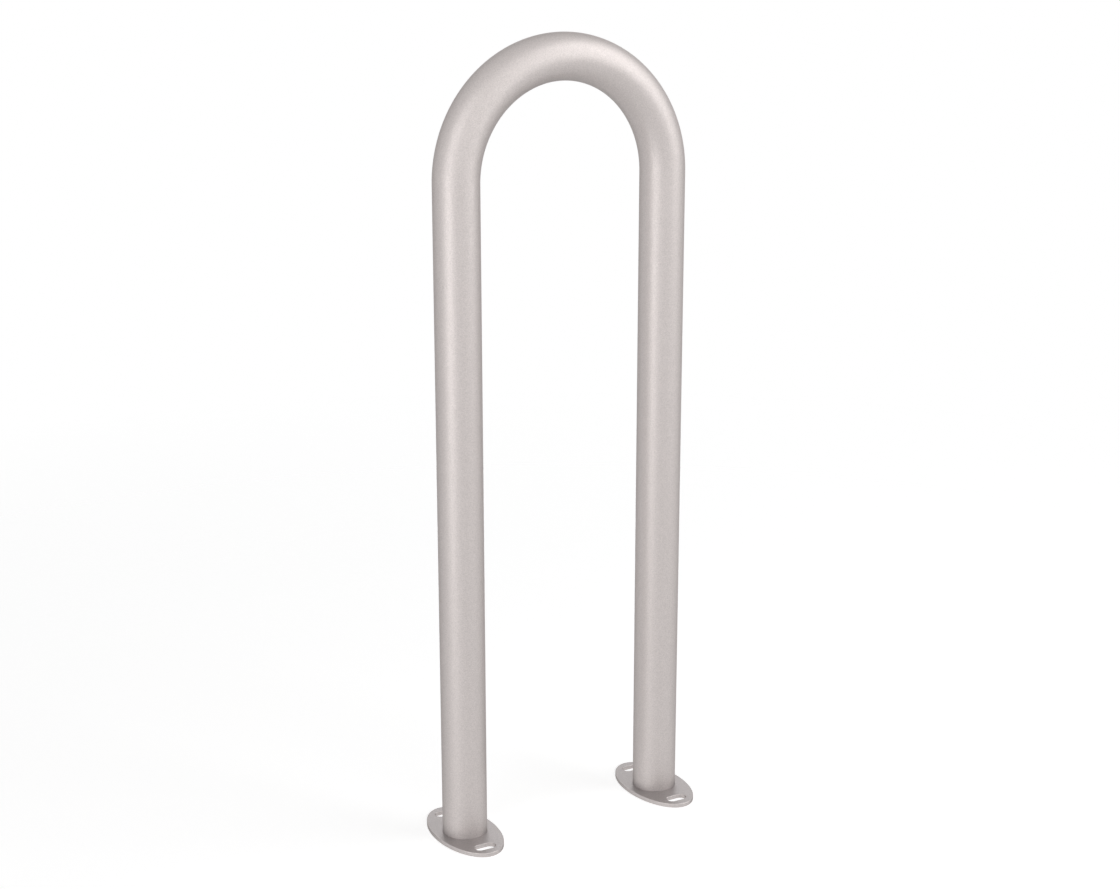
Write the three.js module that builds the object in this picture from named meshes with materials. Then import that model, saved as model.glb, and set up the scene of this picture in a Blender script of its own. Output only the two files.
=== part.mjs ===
// A narrow hoop bike rack for bolting to paving: one bent steel tube, welded into two slotted oval plates.
// Units are millimetres. +Z is up and the hoop stands in the XZ plane. The origin is on the ground,
// midway between the two feet.
import * as THREE from "three";

// Hoop: one length of round steel tube, bent through half a turn
const tubeDiameter = 50.8;
const tubeWall = 3.05;
const bendRadius = 128; // of the tube's centre line, and half the distance between the legs
const legLength = 735; // straight tube from a plate's top face to the start of the bend

// Base plate: a flat oval, longer across the hoop than along it
const plateLength = 133.2;
const plateLedge = 10.5; // of plate on either side of the tube, along the hoop
const plateThickness = 4.8;
const plateEdgeBreak = 0.6; // cut off every edge of the plate when it is deburred

// Anchor slots: one near each end of a plate, their long sides along the hoop
const slotWidth = 13;
const slotLength = 25.4;
const slotMargin = 10.5; // of plate between a slot and the plate's end

// Welded seat: the tube stands in a bore through the plate and is welded from below, inside the bore
const seatClearance = 0.3; // between the tube and the bore
const tubeEndHeight = 1.9; // of the tube's end above the ground
const weldLand = 0.25; // of the tube's end left bare inside the bead
const weldRecess = 0.4; // from the ground up to the bead, so that the plate sits flat

// How finely round forms are divided
const tubeSides = 48;
const tubeBoreSides = 24;
const bendSteps = 48;
const hoopSteps = bendSteps + 2; // round the bend, and one along each leg
const plateSides = 80;
const slotEndSides = 10;
const weldSteps = 4;

const tubeRadius = tubeDiameter / 2;
const tubeBoreRadius = tubeRadius - tubeWall;
const seatRadius = tubeRadius + seatClearance;
const plateWidth = tubeDiameter + 2 * plateLedge;
const weldWidth = tubeWall - weldLand;
const weldHeight = tubeEndHeight - weldRecess;
const bendHeight = plateThickness + legLength; // of the bend's centre above the ground
const slotOffset = plateLength / 2 - slotMargin - slotWidth / 2; // of a slot's centre from the tube's axis

// A fine-textured silver powder coat, and the duller film of it on the rough bead
const powderCoat = { color: 0xcbc4c2, roughness: 0.45, metalness: 0.7 };
const coatOnWeld = { color: 0xb3adab, roughness: 0.6, metalness: 0.6 };

// The tube's centre line: up one leg, half a turn round the bend, and down the other leg. Its parameter
// goes in even steps, one for each leg and the others round the bend, so only the bend is divided finely.
class HoopLine extends THREE.Curve {
  locate(t) {
    const step = t * hoopSteps - 1;
    const bendStep = THREE.MathUtils.clamp(step, 0, bendSteps);
    const turn = (Math.PI * bendStep) / bendSteps;
    return { turn, legShare: Math.abs(step - bendStep) };
  }

  getPoint(t, target = new THREE.Vector3()) {
    const { turn, legShare } = this.locate(t);
    const drop = legShare * (bendHeight - tubeEndHeight);
    return target.set(-bendRadius * Math.cos(turn), 0, bendHeight + bendRadius * Math.sin(turn) - drop);
  }

  getTangent(t, target = new THREE.Vector3()) {
    const { turn } = this.locate(t);
    return target.set(Math.sin(turn), 0, Math.cos(turn));
  }

  // Places along the line are counted in steps, not in length.
  getUtoTmapping(share) {
    return share;
  }
}

// The points of an ellipse, or of a circle where one radius is given, with no point repeated.
function ovalPoints(sides, radiusX, radiusY = radiusX) {
  const oval = new THREE.EllipseCurve(0, 0, radiusX, radiusY);
  return oval.getPoints(sides).slice(0, sides);
}

function hoopTube() {
  const section = new THREE.Shape(ovalPoints(tubeSides, tubeRadius));
  section.holes.push(new THREE.Path(ovalPoints(tubeBoreSides, tubeBoreRadius)));
  return new THREE.ExtrudeGeometry(section, { extrudePath: new HoopLine(), steps: hoopSteps });
}

// A slot with round ends, centred at the given distance across the hoop.
function slotPoints(across) {
  const endRadius = slotWidth / 2;
  const endOffset = slotLength / 2 - endRadius;
  const quarter = Math.PI / 2;
  const ends = [
    new THREE.EllipseCurve(endOffset, across, endRadius, endRadius, -quarter, quarter),
    new THREE.EllipseCurve(-endOffset, across, endRadius, endRadius, quarter, 3 * quarter),
  ];
  return ends.flatMap((end) => end.getPoints(slotEndSides));
}

function basePlate() {
  const outline = new THREE.Shape(ovalPoints(plateSides, plateWidth / 2, plateLength / 2));
  const holes = [
    ovalPoints(tubeSides, seatRadius),
    slotPoints(slotOffset),
    slotPoints(-slotOffset),
  ];
  outline.holes = holes.map((points) => new THREE.Path(points));
  const plate = new THREE.ExtrudeGeometry(outline, {
    depth: plateThickness - 2 * plateEdgeBreak,
    bevelThickness: plateEdgeBreak,
    bevelSize: plateEdgeBreak,
    bevelOffset: -plateEdgeBreak,
    bevelSegments: 1,
  });
  return plate.translate(0, 0, plateEdgeBreak);
}

// A bead with a full round face, in the corner between the tube's end and the wall of the plate's bore.
function weldBead() {
  const corner = new THREE.Vector2(tubeRadius, tubeEndHeight);
  const face = new THREE.EllipseCurve(corner.x, corner.y, weldWidth, weldHeight, Math.PI, 1.5 * Math.PI);
  const profile = [...face.getPoints(weldSteps), corner];
  profile.push(profile[0].clone());
  return new THREE.LatheGeometry(profile, tubeSides).rotateX(Math.PI / 2);
}

function piece(name, geometry, finish) {
  const mesh = new THREE.Mesh(geometry, new THREE.MeshStandardMaterial(finish));
  mesh.name = name;
  return mesh;
}

function foot(side, legX) {
  const group = new THREE.Group();
  group.position.x = legX;
  group.add(piece(`base_plate_${side}`, basePlate(), powderCoat));
  group.add(piece(`weld_ring_${side}`, weldBead(), coatOnWeld));
  return group;
}

const bikeRack = new THREE.Group();
bikeRack.add(piece("hoop_tube", hoopTube(), powderCoat));
bikeRack.add(foot("left", -bendRadius), foot("right", bendRadius));

export default bikeRack;
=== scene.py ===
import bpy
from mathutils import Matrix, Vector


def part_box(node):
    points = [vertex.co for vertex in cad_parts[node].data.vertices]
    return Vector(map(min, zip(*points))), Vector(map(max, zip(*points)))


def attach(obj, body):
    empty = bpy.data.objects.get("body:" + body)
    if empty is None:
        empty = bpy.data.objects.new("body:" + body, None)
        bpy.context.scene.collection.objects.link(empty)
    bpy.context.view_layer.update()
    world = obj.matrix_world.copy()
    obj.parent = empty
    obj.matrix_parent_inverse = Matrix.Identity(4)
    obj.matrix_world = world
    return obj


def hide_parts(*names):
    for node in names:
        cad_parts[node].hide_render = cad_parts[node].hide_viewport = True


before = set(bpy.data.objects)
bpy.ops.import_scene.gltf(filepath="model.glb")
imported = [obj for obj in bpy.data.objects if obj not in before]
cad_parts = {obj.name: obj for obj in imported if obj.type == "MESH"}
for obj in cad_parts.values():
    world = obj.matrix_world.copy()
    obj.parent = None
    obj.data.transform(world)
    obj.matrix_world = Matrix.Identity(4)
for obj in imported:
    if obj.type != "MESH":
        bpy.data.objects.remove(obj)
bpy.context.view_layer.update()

import math
from functools import partial

import bmesh
import bpy
from mathutils import Vector

# Everything is in metres. Z is up, the hoop stands in the XZ plane, and the ground is at Z = 0.

# Sizes read from the frame
tube_low, tube_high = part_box("hoop_tube")
plate_low, plate_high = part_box("base_plate_right")
bead_low, bead_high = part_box("weld_ring_right")
TUBE_RADIUS = (tube_high.y - tube_low.y) / 2
LEG_X = (plate_high.x + plate_low.x) / 2
BEND_RADIUS = LEG_X
BEND_HEIGHT = tube_high.z - TUBE_RADIUS - BEND_RADIUS
PLATE_HALF_WIDTH = (plate_high.x - plate_low.x) / 2
PLATE_HALF_LENGTH = (plate_high.y - plate_low.y) / 2
PLATE_THICKNESS = plate_high.z - plate_low.z
BEAD_HEIGHT = bead_high.z - bead_low.z

# Sizes that the frame's boxes don't give
TUBE_WALL = 0.00305
SLOT_WIDTH = 0.013
SLOT_LENGTH = 0.0254
SLOT_MARGIN = 0.0105  # of plate between a slot and the plate's end
PLATE_EDGE_ROUND = 0.0007
SLOT_EDGE_ROUND = 0.0005
BORE_EDGE_ROUND = 0.0002
UNDERSIDE_EDGE_ROUND = 0.0003  # the most that any edge has on the underside
SEAT_CLEARANCE = 0.00006  # what the coat leaves open of the gap between tube and plate
BEAD_WIDTH = 0.0028
BEAD_RIPPLE = 0.0003  # the depth of a ripple
BEAD_RIPPLE_PITCH = 0.0023
BEAD_RIPPLE_LEAN = 1.1  # of the pi radians of a ripple, how far its middle is set off from its ends

# How finely the forms are divided
TUBE_SIDES = 96
BEND_STEPS = 112
LEG_STEPS = 14
OVAL_SIDES = 168
BORE_SIDES = 96
SLOT_END_SIDES = 20
EDGE_STEPS = 5
BEAD_SIDES = 384
BEAD_STEPS = 10
FLOOR_SIDES = 96
TUBE_SHARP_ANGLE = math.radians(40)
BEAD_SHARP_ANGLE = math.radians(50)


def direction(azimuth, elevation):
    """The unit vector at an azimuth from -Y towards +X and an elevation from the ground, in radians."""
    return Vector((
        math.sin(azimuth) * math.cos(elevation),
        -math.cos(azimuth) * math.cos(elevation),
        math.sin(elevation),
    ))


# Camera

CAMERA_TARGET = Vector((-0.0043, 0, 0.4234))
CAMERA_AZIMUTH = math.radians(-29.86)
CAMERA_ELEVATION = math.radians(15.04)
CAMERA_DISTANCE = 2.1316
FOCAL_LENGTH_PX = 1906.2
IMAGE_WIDTH_PX = 1120
IMAGE_HEIGHT_PX = 889
OPTICAL_CENTRE_PX = (558.75, 462.0)


def place_camera():
    data = bpy.data.cameras.new("photo_camera")
    data.sensor_fit = "HORIZONTAL"
    data.lens = data.sensor_width * FOCAL_LENGTH_PX / IMAGE_WIDTH_PX
    data.shift_x = (IMAGE_WIDTH_PX / 2 - OPTICAL_CENTRE_PX[0]) / IMAGE_WIDTH_PX
    data.shift_y = (OPTICAL_CENTRE_PX[1] - IMAGE_HEIGHT_PX / 2) / IMAGE_WIDTH_PX
    camera = bpy.data.objects.new("photo_camera", data)
    bpy.context.collection.objects.link(camera)
    toward_camera = direction(CAMERA_AZIMUTH, CAMERA_ELEVATION)
    camera.location = CAMERA_TARGET + toward_camera * CAMERA_DISTANCE
    camera.rotation_euler = toward_camera.to_track_quat("Z", "Y").to_euler()
    bpy.context.scene.camera = camera


# Meshes

def add_mesh(name, bm, materials, normals=None):
    """Turns bm into a smooth-shaded object. normals, if given, has one direction for each vertex."""
    mesh = bpy.data.meshes.new(name)
    bm.to_mesh(mesh)
    bm.free()
    mesh.shade_smooth()
    if normals:
        mesh.normals_split_custom_set_from_vertices(normals)
    for material in materials:
        mesh.materials.append(material)
    piece = bpy.data.objects.new(name, mesh)
    bpy.context.collection.objects.link(piece)
    return piece


def join_rings(bm, rings, closed=False, material_index=0):
    """Joins each ring of vertices to the next with quads, and the last to the first if closed."""
    pairs = list(zip(rings, rings[1:] + rings[:1]))
    for low, high in pairs if closed else pairs[:-1]:
        for i in range(len(low)):
            face = bm.faces.new((low[i - 1], low[i], high[i], high[i - 1]))
            face.material_index = material_index


# Hoop tube

INSIDE_MATERIAL = 1  # the second of the tube's two materials


def hoop_stations():
    """Points of the tube's centre line from the left foot to the right, with their outward directions."""
    stations = []
    foot = tube_low.z
    for i in range(LEG_STEPS):
        height = foot + (BEND_HEIGHT - foot) * i / LEG_STEPS
        stations.append((Vector((-LEG_X, 0, height)), Vector((-1, 0, 0))))
    for i in range(BEND_STEPS + 1):
        turn = math.pi * i / BEND_STEPS
        outward = Vector((-math.cos(turn), 0, math.sin(turn)))
        stations.append((Vector((0, 0, BEND_HEIGHT)) + BEND_RADIUS * outward, outward))
    for centre, outward in reversed(stations[:LEG_STEPS]):
        stations.append((Vector((-centre.x, 0, centre.z)), -outward))
    return stations


def build_tube(outside, inside):
    bm = bmesh.new()
    walls = []
    for radius in (TUBE_RADIUS, TUBE_RADIUS - TUBE_WALL):
        wall = []
        for centre, outward in hoop_stations():
            ring = []
            for side in range(TUBE_SIDES):
                angle = 2 * math.pi * side / TUBE_SIDES
                spoke = outward * math.cos(angle) + Vector((0, math.sin(angle), 0))
                ring.append(bm.verts.new(centre + radius * spoke))
            wall.append(ring)
        walls.append(wall)
    outer, inner = walls
    join_rings(bm, outer)
    join_rings(bm, inner, material_index=INSIDE_MATERIAL)
    for end in (0, -1):
        join_rings(bm, [outer[end], inner[end]], material_index=INSIDE_MATERIAL)
    bmesh.ops.recalc_face_normals(bm, faces=bm.faces)
    tube = add_mesh("hoop", bm, [outside, inside])
    tube.data.set_sharp_from_angle(angle=TUBE_SHARP_ANGLE)
    return tube


# Base plates

def oval_loop(inset):
    """The plate's outline, moved inwards by inset: points with the directions out of the metal."""
    loop = []
    for i in range(OVAL_SIDES):
        angle = 2 * math.pi * i / OVAL_SIDES
        point = Vector((PLATE_HALF_WIDTH * math.cos(angle), PLATE_HALF_LENGTH * math.sin(angle)))
        outward = Vector((
            PLATE_HALF_LENGTH * math.cos(angle),
            PLATE_HALF_WIDTH * math.sin(angle),
        )).normalized()
        loop.append((point - inset * outward, outward))
    return loop


def bore_loop(inset):
    """The bore for the tube, widened by inset."""
    radius = TUBE_RADIUS + SEAT_CLEARANCE + inset
    loop = []
    for i in range(BORE_SIDES):
        angle = 2 * math.pi * i / BORE_SIDES
        spoke = Vector((math.cos(angle), math.sin(angle)))
        loop.append((radius * spoke, -spoke))
    return loop


def slot_loop(side, inset):
    """The anchor slot on the given side of the tube, 1 or -1, widened by inset."""
    radius = SLOT_WIDTH / 2
    centre_y = side * (PLATE_HALF_LENGTH - SLOT_MARGIN - radius)
    reach = SLOT_LENGTH / 2 - radius
    loop = []
    for end in (1, -1):
        for i in range(SLOT_END_SIDES + 1):
            angle = math.pi * (i / SLOT_END_SIDES - end / 2)
            spoke = Vector((math.cos(angle), math.sin(angle)))
            loop.append((Vector((end * reach, centre_y)) + (radius + inset) * spoke, -spoke))
    return loop


def edge_profile(low_round, top_round):
    """(inset, height, slope of the normal) from the plate's underside, round its edge, to its top."""
    profile = []
    for i in range(EDGE_STEPS + 1):
        angle = math.pi / 2 * (1 - i / EDGE_STEPS)
        profile.append((low_round * (1 - math.cos(angle)), low_round * (1 - math.sin(angle)), -angle))
    for i in range(EDGE_STEPS + 1):
        angle = math.pi / 2 * i / EDGE_STEPS
        height = PLATE_THICKNESS - top_round * (1 - math.sin(angle))
        profile.append((top_round * (1 - math.cos(angle)), height, angle))
    return profile


def build_plate(name, centre_x, finish):
    bm = bmesh.new()
    normals = []
    rims = []
    outlines = [
        (oval_loop, PLATE_EDGE_ROUND),
        (bore_loop, BORE_EDGE_ROUND),
        (partial(slot_loop, 1), SLOT_EDGE_ROUND),
        (partial(slot_loop, -1), SLOT_EDGE_ROUND),
    ]
    for loop, edge_round in outlines:
        rings = []
        for inset, height, slope in edge_profile(min(edge_round, UNDERSIDE_EDGE_ROUND), edge_round):
            ring = []
            for point, outward in loop(inset):
                ring.append(bm.verts.new((centre_x + point.x, point.y, plate_low.z + height)))
                sideways = outward * math.cos(slope)
                normals.append((sideways.x, sideways.y, math.sin(slope)))
            rings.append(ring)
        join_rings(bm, rings)
        rims.append((rings[0], rings[-1]))
    for face_rims in zip(*rims):
        edges = []
        for ring in face_rims:
            edges += [bm.edges.get((ring[i - 1], ring[i])) for i in range(len(ring))]
        bmesh.ops.triangle_fill(bm, use_beauty=True, edges=edges)
    bmesh.ops.recalc_face_normals(bm, faces=bm.faces)
    return add_mesh(name, bm, [finish], normals)


# Weld beads

def build_bead(name, centre_x, finish):
    """A rippled fillet weld in the corner between the tube's end and the plate's bore."""
    bm = bmesh.new()
    ripples = round(2 * math.pi * (TUBE_RADIUS - BEAD_WIDTH / 2) / BEAD_RIPPLE_PITCH)
    rings = []
    for side in range(BEAD_SIDES):
        around = 2 * math.pi * side / BEAD_SIDES
        spoke = Vector((math.cos(around), math.sin(around), 0))
        corner = Vector((centre_x, 0, bead_high.z)) + TUBE_RADIUS * spoke
        ring = [bm.verts.new(corner)]
        for i in range(BEAD_STEPS + 1):
            share = i / BEAD_STEPS
            turn = math.pi / 2 * share
            crescent = math.sin(math.pi * share)
            ripple = abs(math.sin(ripples * around / 2 + BEAD_RIPPLE_LEAN * crescent))
            fullness = 1 - BEAD_RIPPLE / BEAD_HEIGHT * crescent * ripple
            inwards = -BEAD_WIDTH * math.cos(turn) * fullness * spoke
            down = Vector((0, 0, -BEAD_HEIGHT * math.sin(turn) * fullness))
            ring.append(bm.verts.new(corner + inwards + down))
        rings.append(ring)
    join_rings(bm, rings, closed=True)
    bmesh.ops.recalc_face_normals(bm, faces=bm.faces)
    bead = add_mesh(name, bm, [finish])
    bead.data.set_sharp_from_angle(angle=BEAD_SHARP_ANGLE)
    return bead


# Nodes

WHITE = (1, 1, 1, 1)
NOISE_RANGE = (0.3, 0.7)  # where nearly all of a noise texture's values lie


class Shader:
    """The nodes of a material or a world, with short ways to add and link them."""

    def __init__(self, owner, output="ShaderNodeOutputMaterial"):
        self.owner = owner
        owner.use_nodes = True
        self.tree = owner.node_tree
        self.tree.nodes.clear()
        self.output = self.add(output)

    def add(self, kind, inputs=None, **settings):
        node = self.tree.nodes.new(kind)
        for key, value in settings.items():
            setattr(node, key, value)
        for key, value in (inputs or {}).items():
            self.feed(node.inputs[key], value)
        return node

    def feed(self, socket, value):
        """Links an input to another node's output, or gives it a plain value."""
        if isinstance(value, bpy.types.NodeSocket):
            self.tree.links.new(value, socket)
        else:
            socket.default_value = value

    def surface(self, shown):
        """Shows this output on the surface, and returns the finished material or world."""
        self.feed(self.output.inputs["Surface"], shown)
        return self.owner

    def principled(self, inputs, **settings):
        node = self.add("ShaderNodeBsdfPrincipled", inputs, **settings)
        return self.surface(node.outputs["BSDF"])

    def place(self):
        return self.add("ShaderNodeTexCoord").outputs["Object"]

    def noise(self, scale, detail, roughness=0.5):
        inputs = {"Vector": self.place(), "Scale": scale, "Detail": detail, "Roughness": roughness}
        return self.add("ShaderNodeTexNoise", inputs).outputs["Fac"]

    def bump(self, height, strength, depth, over=None):
        """The surface's direction with a relief on it, laid over another such direction if given."""
        inputs = {"Height": height, "Strength": strength, "Distance": depth}
        if over is not None:
            inputs["Normal"] = over
        return self.add("ShaderNodeBump", inputs).outputs["Normal"]

    def math(self, operation, first, second):
        node = self.add("ShaderNodeMath", {0: first, 1: second}, operation=operation)
        return node.outputs["Value"]

    def z_of(self, vector):
        return self.add("ShaderNodeSeparateXYZ", {"Vector": vector}).outputs["Z"]

    def spread(self, value, low, high, to_low, to_high):
        """Maps the range from low to high onto another, and holds it there."""
        names = ("Value", "From Min", "From Max", "To Min", "To Max")
        inputs = dict(zip(names, (value, low, high, to_low, to_high)))
        return self.add("ShaderNodeMapRange", inputs).outputs["Result"]

    def mix(self, amount, colour, other):
        node = self.add("ShaderNodeMix", data_type="RGBA")
        for key, value in (("Factor", amount), ("A", colour), ("B", other)):
            socket = next(socket for socket in node.inputs if socket.name == key and socket.enabled)
            self.feed(socket, value)
        return next(socket for socket in node.outputs if socket.enabled)

    def tint(self, amount, colour, tint):
        """Multiplies the colour by the tint, as far as the amount says."""
        tinted = self.add("ShaderNodeVectorMath", {0: colour, 1: tint}, operation="MULTIPLY")
        return self.mix(amount, colour, tinted.outputs["Vector"])

    def seen(self):
        """1 where the surface is seen, also in a mirror or through glass, and 0 where it only lights."""
        path = self.add("ShaderNodeLightPath")
        seen = path.outputs["Is Camera Ray"]
        for ray in ("Is Glossy Ray", "Is Transmission Ray"):
            seen = self.math("MAXIMUM", seen, path.outputs[ray])
        return seen


# Powder coat

COAT_DARK = (0.513, 0.473, 0.461, 1)
COAT_LIGHT = (0.687, 0.633, 0.617, 1)
COAT_METALLIC = 0.75
TUBE_ROUGHNESS = (0.56, 0.46)  # in the hollows of the coat's texture, and on its pebbles
PLATE_ROUGHNESS = (0.45, 0.35)
FLAKE_EDGE_TINT = (0.2, 0.2, 0.2, 1)  # flakes lie flat in the coat, so it is darker seen along it
FLAKES_PER_METRE = 1500
FLAKE_SHARE = 0.5  # of the change in tone that comes from the flakes, the rest from the pebbles
PEBBLES_PER_METRE = 780
PEBBLE_DEPTH = 0.00012
PEBBLE_STRENGTH = 0.8
WAVES_PER_METRE = 150
WAVE_DEPTH = 0.0002
WAVE_STRENGTH = 0.3

# Painted shade: the colour is darkened on the plates' flat tops and a little way up the legs' feet,
# standing in for the shade where the tube meets the plates.
PAINTED_SHADE_TINT = (0.82, 0.835, 0.85)
SHADE_SLOPE_LEAST = 0.95  # the upward part of the normal at which the painted shade begins
SHADE_SLOPE_FULL = 0.99  # and the part at which it is painted in full
SHADE_CEILING = 2 * plate_high.z  # flat faces above this have none
SHADE_CLIMB = 0.010  # how far it reaches up the tube
SHADE_ON_FOOT = 0.35


def painted_shade(shader):
    """How much painted shade darkens a point: in full on the plates' flat tops, and a little on the legs'
    feet next to them.
    """
    slope = shader.z_of(shader.add("ShaderNodeNewGeometry").outputs["Normal"])
    height = shader.z_of(shader.place())
    flat = shader.spread(slope, SHADE_SLOPE_LEAST, SHADE_SLOPE_FULL, 0, 1)
    low = shader.spread(height, plate_high.z, SHADE_CEILING, 1, 0)
    on_plate = shader.math("MULTIPLY", flat, low)
    on_foot = shader.spread(height, plate_high.z, plate_high.z + SHADE_CLIMB, SHADE_ON_FOOT, 0)
    return shader.math("MAXIMUM", on_plate, on_foot)


def powder_coat(name, roughness):
    """Silver powder coat: metal flakes in a warm grey binder, with a fine pebbled texture."""
    shader = Shader(bpy.data.materials.new(name))
    pebbles = shader.noise(PEBBLES_PER_METRE, detail=3.0, roughness=0.6)
    waves = shader.noise(WAVES_PER_METRE, detail=1.0)
    flakes = shader.add("ShaderNodeTexVoronoi", {"Vector": shader.place(), "Scale": FLAKES_PER_METRE})
    flake_tone = shader.add("ShaderNodeSeparateColor", {"Color": flakes.outputs["Color"]}).outputs["Red"]
    tone = shader.math(
        "ADD",
        shader.spread(flake_tone, 0, 1, 0, FLAKE_SHARE),
        shader.spread(pebbles, *NOISE_RANGE, 0, 1 - FLAKE_SHARE),
    )
    colour = shader.mix(tone, COAT_DARK, COAT_LIGHT)
    pebbled = shader.bump(pebbles, PEBBLE_STRENGTH, PEBBLE_DEPTH)
    return shader.principled(
        {
            # painted shade: the base colour is darkened on the plates' tops and the legs' feet
            "Base Color": shader.tint(painted_shade(shader), colour, PAINTED_SHADE_TINT),
            "Roughness": shader.spread(pebbles, *NOISE_RANGE, *roughness),
            "Normal": shader.bump(waves, WAVE_STRENGTH, WAVE_DEPTH, over=pebbled),
            "Metallic": COAT_METALLIC,
            "Specular Tint": FLAKE_EDGE_TINT,
        },
        distribution="GGX",  # reflects once only: the binder soaks up what flakes pass to each other
    )


# Bare steel

STEEL_DARK = (0.10, 0.095, 0.09, 1)
STEEL_LIGHT = (0.19, 0.18, 0.17, 1)
STEEL_METALLIC = 0.6
STEEL_ROUGHNESS = (0.5, 0.7)  # of the dark streaks, and of the light ones
STREAKS_PER_METRE = 90
OVERSPRAY = (0.45, 0.42, 0.41, 1)
OVERSPRAY_FULL_BELOW = 0.01
OVERSPRAY_NONE_ABOVE = 0.07


def bare_steel():
    """The inside of the tube: dull mill steel, which the coat has only reached near the open ends."""
    shader = Shader(bpy.data.materials.new("bare_steel"))
    streaks = shader.noise(STREAKS_PER_METRE, detail=4.0, roughness=0.7)
    height = shader.z_of(shader.place())
    coated = shader.spread(height, OVERSPRAY_FULL_BELOW, OVERSPRAY_NONE_ABOVE, 1, 0)
    steel = shader.mix(streaks, STEEL_DARK, STEEL_LIGHT)
    return shader.principled({
        "Base Color": shader.mix(coated, steel, OVERSPRAY),
        "Roughness": shader.spread(streaks, *NOISE_RANGE, *STEEL_ROUGHNESS),
        "Metallic": STEEL_METALLIC,
    })


# Coated weld

WELD_DARK = (0.36, 0.33, 0.32, 1)
WELD_LIGHT = (0.54, 0.50, 0.49, 1)
WELD_METALLIC = 0.5
WELD_ROUGHNESS = (0.5, 0.65)  # in the hollows of the grain, and on its tops
WELD_GRAINS_PER_METRE = 1400
WELD_GRAIN_DEPTH = 0.0001
WELD_GRAIN_STRENGTH = 0.6
WELD_PATCHES_PER_METRE = 160


def coated_weld():
    """The same coat over the rough bead, duller and uneven in tone."""
    shader = Shader(bpy.data.materials.new("weld_powder_coat"))
    grain = shader.noise(WELD_GRAINS_PER_METRE, detail=4.0, roughness=0.65)
    patches = shader.noise(WELD_PATCHES_PER_METRE, detail=2.0)
    return shader.principled({
        "Base Color": shader.mix(patches, WELD_DARK, WELD_LIGHT),
        "Roughness": shader.spread(grain, *NOISE_RANGE, *WELD_ROUGHNESS),
        "Normal": shader.bump(grain, WELD_GRAIN_STRENGTH, WELD_GRAIN_DEPTH),
        "Metallic": WELD_METALLIC,
    })


# Studio

FLOOR_RADIUS = 2.2
FLOOR_SOLID_RADIUS = 0.4  # from here outwards the floor fades
FLOOR_GAP = 0.00005  # below the plates, so that their undersides show from below
FLOOR_COLOUR = (0.6, 0.6, 0.6, 1)
FLOOR_LIFT = 0.76  # what the floor glows with where it is seen, so that it shows as white
AMBIENT = 0.1
LAMP_DISTANCE = 3


def floor_finish():
    """A floor that takes the rack's shadow, fades into the white around it, and is clear from below."""
    shader = Shader(bpy.data.materials.new("floor"))
    lift = shader.math("MULTIPLY", shader.seen(), FLOOR_LIFT)
    diffuse = shader.add("ShaderNodeBsdfDiffuse", {"Color": FLOOR_COLOUR}).outputs["BSDF"]
    glow = shader.add("ShaderNodeEmission", {"Color": WHITE, "Strength": lift}).outputs["Emission"]
    lit = shader.add("ShaderNodeAddShader", {0: diffuse, 1: glow}).outputs["Shader"]
    length = shader.add("ShaderNodeVectorMath", {0: shader.place()}, operation="LENGTH")
    fade = shader.spread(length.outputs["Value"], FLOOR_SOLID_RADIUS, FLOOR_RADIUS, 0, 1)
    underneath = shader.add("ShaderNodeNewGeometry").outputs["Backfacing"]
    clearness = shader.math("MAXIMUM", fade, underneath)
    clear = shader.add("ShaderNodeBsdfTransparent").outputs["BSDF"]
    mixed = shader.add("ShaderNodeMixShader", {0: clearness, 1: lit, 2: clear})
    return shader.surface(mixed.outputs["Shader"])


def build_floor():
    bm = bmesh.new()
    bmesh.ops.create_circle(bm, cap_ends=True, segments=FLOOR_SIDES, radius=FLOOR_RADIUS)
    bmesh.ops.translate(bm, verts=bm.verts, vec=(0, 0, -FLOOR_GAP))
    floor = add_mesh("floor", bm, [floor_finish()])


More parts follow.
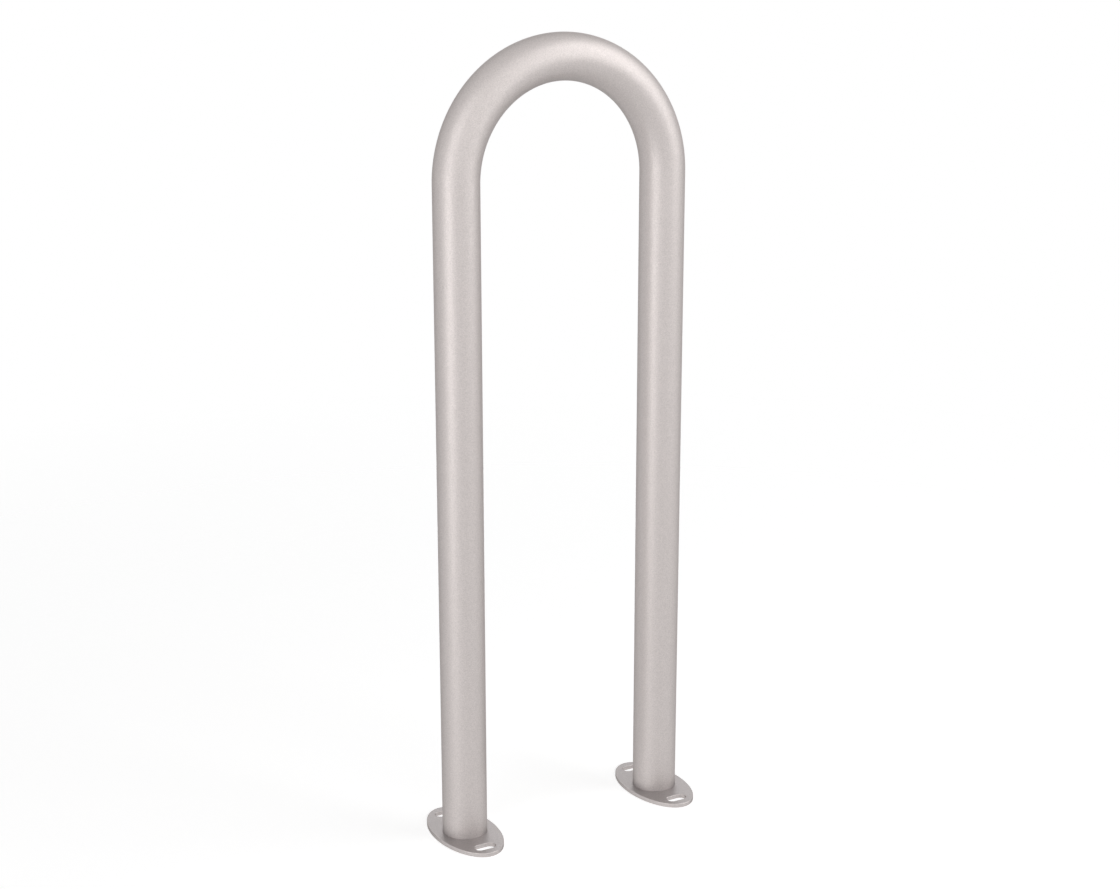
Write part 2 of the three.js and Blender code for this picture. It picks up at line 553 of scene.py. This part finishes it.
def light_world():
    """White where it is seen, and a plain soft level where it only lights."""
    shader = Shader(bpy.data.worlds.new("studio"), output="ShaderNodeOutputWorld")
    strength = shader.spread(shader.seen(), 0, 1, AMBIENT, 1)
    background = shader.add("ShaderNodeBackground", {"Color": WHITE, "Strength": strength})
    bpy.context.scene.world = shader.surface(background.outputs["Background"])


def add_softbox(name, azimuth, elevation, width, height, power):
    """An area lamp that faces the middle of the rack, with its azimuth and elevation in degrees."""
    data = bpy.data.lights.new(name, "AREA")
    data.shape = "RECTANGLE"
    data.size = width
    data.size_y = height
    data.energy = power
    lamp = bpy.data.objects.new(name, data)
    bpy.context.collection.objects.link(lamp)
    toward_lamp = direction(math.radians(azimuth), math.radians(elevation))
    lamp.location = Vector((0, 0, tube_high.z / 2)) + LAMP_DISTANCE * toward_lamp
    lamp.rotation_euler = toward_lamp.to_track_quat("Z", "Y").to_euler()


def light_rack():
    add_softbox("softbox_left", azimuth=-65, elevation=6, width=1.8, height=1.5, power=2)
    add_softbox("softbox_left_low", azimuth=-65, elevation=-4, width=1.8, height=0.45, power=15.5)
    add_softbox("softbox_left_high", azimuth=-60, elevation=32, width=1.8, height=1.0, power=11.5)
    add_softbox("softbox_right", azimuth=55, elevation=40, width=2.3, height=2.0, power=26)
    add_softbox("softbox_right_low", azimuth=44, elevation=12, width=2.0, height=1.0, power=13)
    add_softbox("softbox_front", azimuth=-8, elevation=15, width=1.5, height=1.5, power=5)
    add_softbox("softbox_front_high", azimuth=0, elevation=50, width=1.5, height=1.5, power=3.5)
    add_softbox("softbox_back", azimuth=148, elevation=20, width=2.4, height=1.5, power=8)


# Assembly

place_camera()
tube_coat = powder_coat("tube_powder_coat", TUBE_ROUGHNESS)
plate_coat = powder_coat("plate_powder_coat", PLATE_ROUGHNESS)
weld = coated_weld()

hoop = build_tube(tube_coat, bare_steel())
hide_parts("hoop_tube")
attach(hoop, "root")

for side, centre_x in (("left", -LEG_X), ("right", LEG_X)):
    plate = build_plate(f"foot_plate_{side}", centre_x, plate_coat)
    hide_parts(f"base_plate_{side}")
    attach(plate, "root")
    bead = build_bead(f"weld_bead_{side}", centre_x, weld)
    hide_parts(f"weld_ring_{side}")
    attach(bead, "root")

build_floor()
light_world()
light_rack()

bpy.context.scene.view_settings.view_transform = "Standard"
